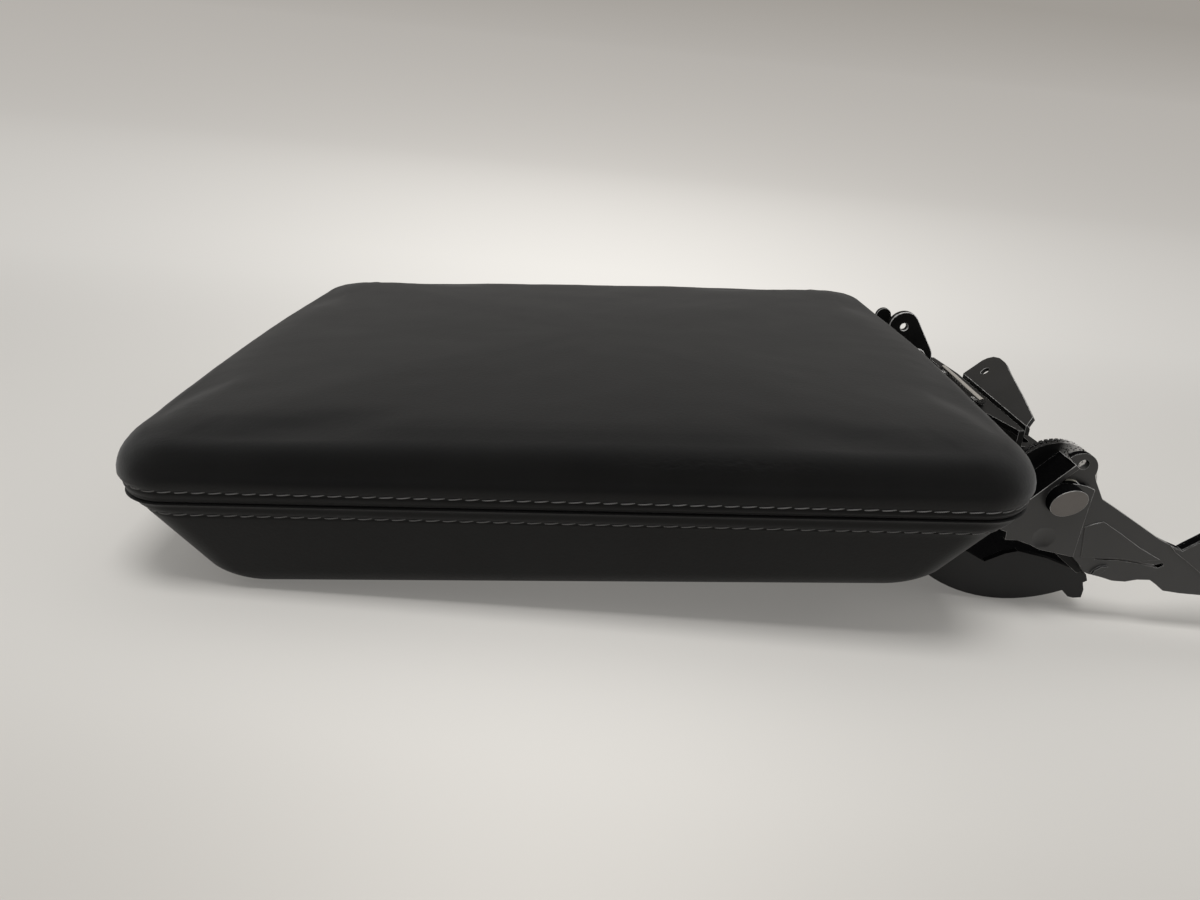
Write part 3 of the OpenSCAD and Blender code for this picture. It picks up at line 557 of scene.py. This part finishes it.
stitching = bpy.data.node_groups.new("stitch_row", "GeometryNodeTree")
stitching.interface.new_socket("Seam line", in_out="INPUT", socket_type="NodeSocketGeometry")
usual = {"Pitch": stitch_pitch, "Stitch length": stitch_length, "Thread radius": 0.00024, "Sink": 0.0004,
         "Slant": 0.09, "Seed": 7}
identifiers = {}
for label, value in usual.items():
    kind = "NodeSocketInt" if label == "Seed" else "NodeSocketFloat"
    made = stitching.interface.new_socket(label, in_out="INPUT", socket_type=kind)
    made.default_value = value
    identifiers[label] = made.identifier
made = stitching.interface.new_socket("Thread", in_out="INPUT", socket_type="NodeSocketMaterial")
identifiers["Thread"] = made.identifier
stitching.interface.new_socket("Stitches", in_out="OUTPUT", socket_type="NodeSocketGeometry")


def geo(kind, settings=None, **sockets):
    """Adds one node to the stitch tree."""
    return add_node(stitching, kind, settings, sockets)


def times(socket, factor):
    return geo("ShaderNodeMath", {"operation": "MULTIPLY"}, i0=socket, i1=factor).outputs[0]


given = stitching.nodes.new("NodeGroupInput").outputs
half = times(given["Stitch length"], 0.5)
back_half = times(given["Stitch length"], -0.5)
down = times(given["Sink"], -1.0)
proud = times(given["Thread radius"], 0.55)
start_at = geo("ShaderNodeCombineXYZ", X=back_half, Z=down).outputs[0]
end_at = geo("ShaderNodeCombineXYZ", X=half, Z=down).outputs[0]
arch_height, arch_reach = times(proud, 2.6), 0.86
lift_l = geo("ShaderNodeCombineXYZ", X=times(half, -arch_reach), Z=arch_height).outputs[0]
lift_r = geo("ShaderNodeCombineXYZ", X=times(half, arch_reach), Z=arch_height).outputs[0]
one = geo("GeometryNodeCurvePrimitiveBezierSegment", Resolution=7, Start=start_at, Start_Handle=lift_l,
          End_Handle=lift_r, End=end_at)
round_thread = geo("GeometryNodeCurvePrimitiveCircle", Resolution=6, Radius=given["Thread radius"])
stitch = geo("GeometryNodeCurveToMesh", Curve=one.outputs[0], Profile_Curve=round_thread.outputs[0],
             Fill_Caps=True)
line = geo("GeometryNodeMeshToCurve", Mesh=given["Seam line"])
spots = geo("GeometryNodeCurveToPoints", {"mode": "LENGTH"}, Curve=line.outputs[0], Length=given["Pitch"])
outward = geo("GeometryNodeInputNamedAttribute", {"data_type": "FLOAT_VECTOR"}, Name="outward")
lie = geo("FunctionNodeAlignRotationToVector", {"axis": "X"}, Vector=spots.outputs["Tangent"])
stand = geo("FunctionNodeAlignRotationToVector", {"axis": "Z", "pivot_axis": "X"},
            Rotation=lie.outputs[0], Vector=outward.outputs["Attribute"])
wobble = geo("FunctionNodeRandomValue", {"data_type": "FLOAT"}, Seed=given["Seed"])
low_turn = geo("ShaderNodeMath", {"operation": "MULTIPLY_ADD"}, i0=wobble.outputs[1], i1=0.05,
               i2=given["Slant"])
turn = geo("ShaderNodeCombineXYZ", Z=low_turn.outputs[0])
spun = geo("FunctionNodeRotateRotation", {"rotation_space": "LOCAL"}, Rotation=stand.outputs[0],
           Rotate_By=turn.outputs[0])
placed = geo("GeometryNodeInstanceOnPoints", Points=spots.outputs["Points"], Instance=stitch.outputs[0],
             Rotation=spun.outputs[0])
real = geo("GeometryNodeRealizeInstances", Geometry=placed.outputs[0])
finished = geo("GeometryNodeSetMaterial", Geometry=real.outputs[0], Material=given["Thread"])
stitching.links.new(finished.outputs[0], stitching.nodes.new("NodeGroupOutput").inputs[0])


def stitch_line(name, line, rise_line, seed):
    """One row along line; rise_line is the next ring up the surface, for the outward direction."""
    count = len(line)
    along = np.roll(line, -1, 0) - np.roll(line, 1, 0)
    out = np.cross(along, rise_line - line)
    out /= np.linalg.norm(out, axis=1)[:, None]
    mesh = bpy.data.meshes.new(name)
    mesh.from_pydata([tuple(p) for p in line], [(k, (k + 1) % count) for k in range(count)], [])
    attribute = mesh.attributes.new("outward", "FLOAT_VECTOR", "POINT")
    attribute.data.foreach_set("vector", out.astype(np.float32).ravel())
    row = bpy.data.objects.new(name, mesh)
    scene.collection.objects.link(row)
    sew = row.modifiers.new("sew", "NODES")
    sew.node_group = stitching
    for label, value in (usual | {"Seed": seed, "Thread": thread.material}).items():
        sew[identifiers[label]] = value
    settled(row)
    seated(row)
    row.data.polygons.foreach_set("use_smooth", [True] * len(row.data.polygons))
    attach(row, "lid")


inset = upper_side(stitch_rise)
upper_line = row_falls(ring(inset, inset, corner_radius, stitch_rise), stitch_rise, girth_high, row_fall_upper)
inset = upper_side(girth_high)
stitch_line("upper_stitches", upper_line, ring(inset, inset, corner_radius, girth_high), 7)
lower_line = row_falls(lower_ring(stitch_rise / low_mid, dent=pinch_lower), stitch_rise, girth_high,
                       row_fall_lower)
stitch_line("lower_stitches", lower_line, ring(seam_in, seam_in, seam_corner, -seam_half), 11)

# Core, foam and joining frame: the moulded plastic that carries the pad, the foam on it, and
# the flat ring at the bottom of the groove against which both covers are clamped.

plastic = Finish("moulded_plastic", Roughness=0.55, Specular_IOR_Level=0.4)
fine = plastic.grain(1400.0, 2.0)
broad = plastic.grain(30.0, 2.0)
plastic.feed(Base_Color=plastic.shade((0.022, 0.022, 0.023), (0.036, 0.036, 0.037), broad),
             Normal=plastic.bump(fine, 0.25, 0.0001), Roughness=0.5 + fine * 0.15)
foam = Finish("moulded_foam", Roughness=0.95, Specular_IOR_Level=0.1)
cells = foam.node("ShaderNodeTexVoronoi", Vector=foam.place, Scale=900.0)["Distance"]
foam.feed(Base_Color=foam.shade((0.62, 0.55, 0.36), (0.78, 0.72, 0.52), cells.ramp(0.1, 0.6)),
          Normal=foam.bump(cells, 0.6, 0.0004))


def dressed(node, finish):
    """A CAD node keeps its shape and takes this finish."""
    mesh = frame["nodes"][node].data
    mesh.materials.clear()
    mesh.materials.append(finish.material)
    mesh.polygons.foreach_set("material_index", [0] * len(mesh.polygons))


for node, finish in (("core", plastic), ("foam_pad", foam), ("joining_frame", plastic)):
    dressed(node, finish)


bevel_from, sharp_from = math.radians(28), math.radians(38)


def worked(node, width, body, finish, edge=None, others=()):
    """A copy of a CAD node with its edges broken as by shearing and tumbling, which stands for it.
    Each of the others is a finish and a test of a face's centre and normal."""
    made = bpy.data.objects.new(node + "_finished", frame["nodes"][node].data.copy())
    scene.collection.objects.link(made)
    mesh = bmesh.new()
    mesh.from_mesh(made.data)
    bmesh.ops.remove_doubles(mesh, verts=mesh.verts, dist=2e-6)
    bmesh.ops.dissolve_limit(mesh, angle_limit=math.radians(0.6), verts=mesh.verts, edges=mesh.edges)
    mesh.to_mesh(made.data)
    mesh.free()
    made.data.materials.clear()
    for each in (finish, edge or finish):
        made.data.materials.append(each.material)
    made.data.polygons.foreach_set("material_index", [0] * len(made.data.polygons))
    # The bevel's faces take the edge finish, which on the coated parts is a painted highlight.
    bevel = made.modifiers.new("edges", "BEVEL")
    bevel.width, bevel.segments, bevel.limit_method = width, 2, "ANGLE"
    bevel.angle_limit, bevel.use_clamp_overlap, bevel.material = bevel_from, True, 1
    settled(made)
    made.data.polygons.foreach_set("use_smooth", [True] * len(made.data.polygons))
    made.data.set_sharp_from_angle(angle=sharp_from)
    made.modifiers.new("flat_faces", "WEIGHTED_NORMAL").keep_sharp = True
    settled(made)
    for other, where in others:
        made.data.materials.append(other.material)
        for face in made.data.polygons:
            if face.material_index == 0 and where(face.center, face.normal):
                face.material_index = len(made.data.materials) - 1
    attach(made, body)
    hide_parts(node)


# Inner panel and its six screws: a moulded plate, flush with the lower rim, that closes the
# underside. The screws go up into the core's bosses.

screw_edge = 0.00025
worked("inner_panel", 0.0004, "lid", plastic)
zinc = Finish("zinc_steel", Metallic=1.0, Roughness=0.32)
cloud = zinc.grain(700.0, 3.0)
zinc.feed(Base_Color=zinc.shade((0.55, 0.54, 0.52), (0.70, 0.69, 0.67), cloud), Roughness=0.26 + cloud * 0.16)
worked("panel_screws", screw_edge, "lid", zinc)

# Lid brackets: pressed steel with a black electro-coat. They are screwed up inside the lid, pass
# through its rear slots and turn on the rivets. The near one has a folded flange as open stop.

axis_x, _, axis_z = frame["joints"][0]["pos_m"]
coat = Finish("black_coated_steel", Specular_IOR_Level=0.8)
peel = coat.grain(420.0, 3.0)
smudge = coat.grain(45.0, 4.0)
dust = coat.grain(3200.0, 2.0)
coat.feed(Base_Color=coat.shade((0.0150, 0.0147, 0.0147), (0.0225, 0.022, 0.022), smudge.ramp(0.3, 0.7)),
          Roughness=0.34 + smudge * 0.12 + dust * 0.06, Normal=coat.bump(peel + dust * 0.3, 0.16, 0.00012))
# Two darker copies of the coat are painted shade: the first on the flap, the second, darker still, on the far
# bracket and arm, the anchor ear, the cross plate and the near arm's upturned faces by its foot.
coat_painted_shade = Finish("coated_steel_painted_shade", Specular_IOR_Level=0.45)
haze = coat_painted_shade.grain(60.0, 4.0)
coat_painted_shade.feed(Base_Color=coat_painted_shade.shade((0.0095, 0.0093, 0.009), (0.0150, 0.0147, 0.0143), haze.ramp(0.3, 0.7)),
          Roughness=0.42 + haze * 0.14, Normal=coat_painted_shade.bump(coat_painted_shade.grain(420.0, 3.0), 0.16, 0.00012))
coat_painted_deep_shade = Finish("coated_steel_painted_deep_shade", Specular_IOR_Level=0.22)
film = coat_painted_deep_shade.grain(60.0, 4.0)
coat_painted_deep_shade.feed(Base_Color=coat_painted_deep_shade.shade((0.0055, 0.0054, 0.0053), (0.0090, 0.0088, 0.0086), film.ramp(0.3, 0.7)),
         Roughness=0.46 + film * 0.14, Normal=coat_painted_deep_shade.bump(coat_painted_deep_shade.grain(420.0, 3.0), 0.16, 0.00012))
# Painted highlight: the broken edges and flange ends of the coated parts take a pale colour that stands in for
# light caught on them.
edge_highlight = Finish("coat_edge_painted_highlight", Specular_IOR_Level=0.5)
highlight_grain = edge_highlight.grain(300.0, 3.0)
edge_highlight.feed(Base_Color=edge_highlight.shade((0.30, 0.295, 0.285), (0.82, 0.81, 0.79), highlight_grain.ramp(0.35, 0.65)),
          Roughness=0.42 + highlight_grain * 0.15, Metallic=highlight_grain.ramp(0.5, 0.75) * 0.3)
# Painted shade: a near-black finish put on hinge faces that lie in deep shade.
black_painted_shade = Finish("black_painted_shade_finish", Roughness=0.9, Specular_IOR_Level=0.04)
shade_grain = black_painted_shade.grain(1800.0, 3.0)
black_painted_shade.feed(Base_Color=black_painted_shade.shade((0.0016, 0.0016, 0.0018), (0.0048, 0.0047, 0.0047), shade_grain.ramp(0.45, 0.75)),
          Normal=black_painted_shade.bump(shade_grain, 0.5, 0.0002))
flange_y, flange_z = -0.0870, axis_z + 0.0005


def on_flange(place):
    return flange_y < place.y < 0.0 and place.z > flange_z


# On both brackets, painted shade darkens the flange faces that turn up and towards the lid, and a painted
# highlight lights the flange's end faces. The far bracket takes the darker copy of the coat, as painted shade.
for node, finish in (("bracket_near", coat), ("bracket_far", coat_painted_deep_shade)):
    worked(node, 0.0009, "lid", finish, edge_highlight, (
        (black_painted_shade, lambda place, normal: on_flange(place) and normal.x < 0.3),
        (edge_highlight, lambda place, normal: on_flange(place) and normal.x > 0.5)))
worked("bracket_screws", screw_edge, "lid", zinc)

# Hinge arms: gooseneck pressings with folded lips, that carry the bushes and run back to their
# bolted feet in the console.

arm_edge, foot_x, lobe_z = 0.00045, axis_x + 0.0425, axis_z + 0.0125
lip_y, lip_end_y = -0.0842, -0.0822
# Painted shade on the near arm: near-black on the lip's upturned faces by the foot, on the parts inboard of the
# lip and on the lobe's sides, and the darker coat on its other upturned faces by the foot.
worked("arm_near", arm_edge, "hinge_frame", coat, edge_highlight, (
    (black_painted_shade, lambda place, normal: place.x > foot_x and place.y > lip_y and normal.z > 0.2),
    (black_painted_shade, lambda place, normal: place.y > lip_end_y or place.z > lobe_z and abs(normal.y) < 0.3),
    (coat_painted_deep_shade, lambda place, normal: place.x > foot_x and normal.z > 0.2)))
# The far arm takes the darker copy of the coat, as painted shade.
worked("arm_far", arm_edge, "hinge_frame", coat_painted_deep_shade, edge_highlight)
acetal = Finish("acetal", Roughness=0.45)
speck = acetal.grain(500.0, 2.0)
acetal.feed(Base_Color=acetal.shade((0.52, 0.50, 0.42), (0.62, 0.60, 0.52), speck))
for node in ("bush_near", "bush_far"):
    dressed(node, acetal)

# Friction drum, its discs, and the anchor ear: the ribbed steel drum is fixed to the near arm
# and grips discs on the pin; bright specks on the rear half of its rim are painted glints,
# standing in for light caught on the ribs. The ear on the far arm holds the end of the lift spring.

rim = Finish("ribbed_rim", Specular_IOR_Level=0.25)
off_axis = rim.axes()[0] - axis_x
lean = off_axis.maths("ARCTAN2", off_axis, 0.5) * 54.0
rearward = lean.maths("SINE", lean) * 0.5 + 0.5
# Painted highlight: pale specks, as painted glints, on the rear half of the near-black rim.
glint_grain = rim.grain(1100.0, 3.0)
bright = (rearward.ramp(0.45, 0.85) * glint_grain.ramp(0.36, 0.52)).held()
rim.feed(Base_Color=rim.shade((0.004, 0.004, 0.0043), (0.85, 0.83, 0.80), bright),
         Roughness=0.45 - bright * 0.12, Metallic=bright * 0.3)
worked("friction_drum", 0.00015, "hinge_frame", rim, edge_highlight)
dressed("friction_discs", zinc)
# The anchor ear takes the darker copy of the coat, as painted shade.
worked("anchor_ear", 0.0006, "hinge_frame", coat_painted_deep_shade, edge_highlight)

# Rivet pivots: solid rivets through bracket, bush and arm, with wide, slightly domed heads that
# were turned and left with a burnished dark finish.

rivet = Finish("burnished_rivet", Metallic=0.85)
stain = rivet.grain(260.0, 3.0)
rivet.feed(Base_Color=rivet.shade((0.15, 0.139, 0.132), (0.21, 0.197, 0.187), stain),
           Roughness=0.38 + stain * 0.2, Normal=rivet.bump(stain, 0.12, 0.0001))
near_head_y = -0.0885
# Painted shade: the near rivet head's side walls are near-black.
for node in ("pivot_near", "pivot_far"):
    worked(node, 0.0005, "lid", rivet, edge_highlight, (
        (black_painted_shade, lambda place, normal: place.y < near_head_y and abs(normal.y) < 0.3),))

# Cross plate, flap, rod and clips: the plate is welded between the arms; the flap with its screw
# hole is riveted to the plate's rear flange; two saddle clips hold the bright rod on top.

# The cross plate and the flap take darker copies of the coat, as painted shade.
worked("cross_plate", 0.0007, "hinge_frame", coat_painted_deep_shade, edge_highlight)
worked("flap", 0.0005, "hinge_frame", coat_painted_shade, edge_highlight)
worked("flap_rivets", 0.0003, "hinge_frame", rivet)
drawn = Finish("drawn_bright_steel", Metallic=1.0)
lines = drawn.grain(900.0, 2.0, (1.0, 0.05, 1.0))
drawn.feed(Base_Color=drawn.shade((0.86, 0.85, 0.82), (0.95, 0.94, 0.92), lines), Roughness=0.16 + lines * 0.12)
dressed("rod", drawn)
worked("rod_clips", 0.0002, "hinge_frame", coat, edge_highlight)

# Shroud: a satin black moulding screwed under the lid's rear edge. Its crescent hides the gap
# and the hinge while the lid turns.

satin = Finish("satin_black_moulding", Specular_IOR_Level=0.4)
etched = satin.grain(1500.0, 2.0)
wave = satin.grain(25.0, 2.0)
satin.feed(Base_Color=satin.shade((0.016, 0.016, 0.0165), (0.024, 0.024, 0.0245), wave),
           Roughness=0.45 + etched * 0.15, Normal=satin.bump(etched, 0.2, 0.0001))
cheek_y = 0.0735
# Painted shade: the shroud's upturned faces and the inner faces of its cheeks are near-black, where the light
# does not reach.
worked("shroud", 0.0005, "lid", satin, others=(
    (black_painted_shade, lambda place, normal: normal.z > 0.25 or abs(place.y) < cheek_y and abs(normal.y) > 0.5),))
worked("shroud_screws", screw_edge, "lid", zinc)
